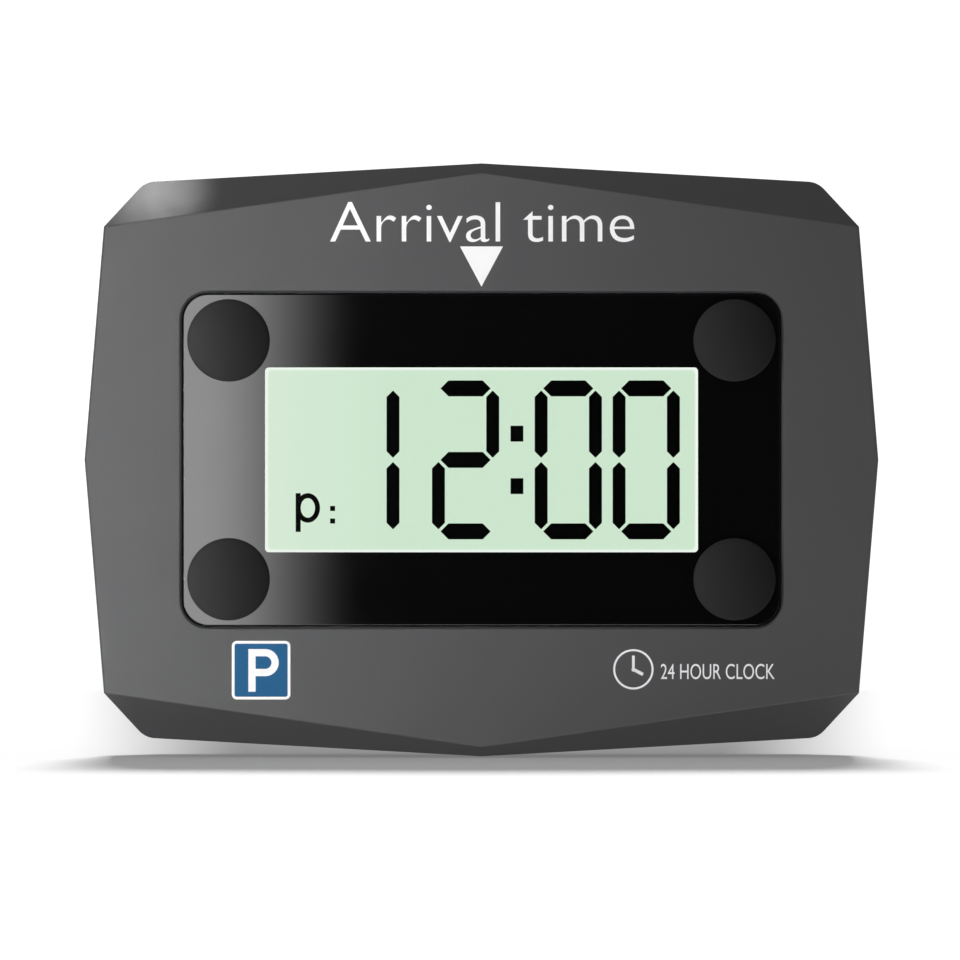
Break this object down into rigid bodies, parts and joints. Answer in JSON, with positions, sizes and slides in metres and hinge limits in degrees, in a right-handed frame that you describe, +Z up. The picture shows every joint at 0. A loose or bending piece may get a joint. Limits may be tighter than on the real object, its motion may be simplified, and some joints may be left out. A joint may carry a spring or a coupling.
{
  "type": "electronic parking disc",
  "caption": "Flat faceted arrival-time clock that sticks to a windscreen by foam pads, with a large display, a button and a battery door.",
  "frame": {"origin": "middle of the plane where the four adhesive pads meet the windscreen", "axes": "+X to the right and +Z up as seen from in front of the display, +Y from the windscreen into the car"},
  "size_m": [0.107, 0.0226, 0.08],
  "materials": {
    "case_grey": "matte",
    "window_black": "gloss",
    "pad_foam": "matte",
    "tape_black": "matte",
    "gasket_foam": "matte",
    "polariser_film": "satin",
    "display_glass": "gloss",
    "display_ink": "satin",
    "reflector_film": "satin",
    "holder_white": "matte",
    "elastomer_grey": "matte",
    "board_green": "satin",
    "bright_steel": "satin",
    "tinned_leads": "satin",
    "chip_black": "matte",
    "plunger_black": "matte",
    "capacitor_tan": "matte",
    "resistor_black": "matte",
    "capacitor_can": "satin",
    "button_blue": "matte",
    "sounder_brass": "satin",
    "sounder_white": "matte",
    "battery_metal": "satin",
    "battery_label": "gloss",
    "wire_red": "satin",
    "wire_black": "satin"
  },
  "bodies": {
    "housing": {"adhesive_pad_lower_left": "pad_foam", "adhesive_pad_lower_right": "pad_foam", "adhesive_pad_upper_left": "pad_foam", "adhesive_pad_upper_right": "pad_foam", "battery_can_lower": "battery_metal", "battery_can_upper": "battery_metal", "battery_sleeve_lower": "battery_label", "battery_sleeve_upper": "battery_label", "battery_wire_minus": "wire_black", "battery_wire_plus": "wire_red", "board_capacitors": "capacitor_tan", "board_resistors": "resistor_black", "board_screws": "bright_steel", "case_screws": "bright_steel", "circuit_board": "board_green", "clock_crystal": "bright_steel", "contact_link": "bright_steel", "contact_minus": "bright_steel", "contact_plus": "bright_steel", "contact_spring_lower": "bright_steel", "contact_spring_upper": "bright_steel", "contact_strip": "elastomer_grey", "controller_chip": "chip_black", "controller_leads": "tinned_leads", "crystal_legs": "tinned_leads", "display_front_glass": "display_glass", "display_gasket": "gasket_foam", "display_holder": "holder_white", "display_polariser": "polariser_film", "display_rear_glass": "display_glass", "display_reflector": "reflector_film", "display_seal": "display_ink", "display_segments": "display_ink", "display_window": "window_black", "front_cover": "case_grey", "motion_sensor": "chip_black", "rear_cover": "case_grey", "reservoir_capacitor": "capacitor_can", "sounder_ceramic": "sounder_white", "sounder_plate": "sounder_brass", "sounder_wire_ground": "wire_black", "sounder_wire_signal": "wire_red", "switch_base": "chip_black", "switch_dome": "bright_steel", "switch_legs": "tinned_leads", "switch_lid": "bright_steel", "window_tape": "tape_black"},
    "set_button": {"set_button": "button_blue"},
    "switch_plunger": {"switch_plunger": "plunger_black"},
    "battery_door": {"battery_door": "case_grey", "door_foam": "gasket_foam"}
  },
  "joints": [
    {"name": "button_press", "type": "slide", "parent": "housing", "child": "set_button", "axis": [0, -1, 0], "range_m": [0, 0.00035], "stiffness_N_per_m": 300, "springref_m": -0.001},
    {"name": "switch_travel", "type": "slide", "parent": "housing", "child": "switch_plunger", "axis": [0, -1, 0], "range_m": [0, 0.00035]},
    {"name": "door_swing", "type": "hinge", "parent": "housing", "child": "battery_door", "pos_m": [0, 0.022, -0.01251], "axis": [1, 0, 0], "range_deg": [0, 50]}
  ],
  "couplings": [
    {"joint": "switch_travel", "follows": "button_press", "ratio": 1}
  ]
}
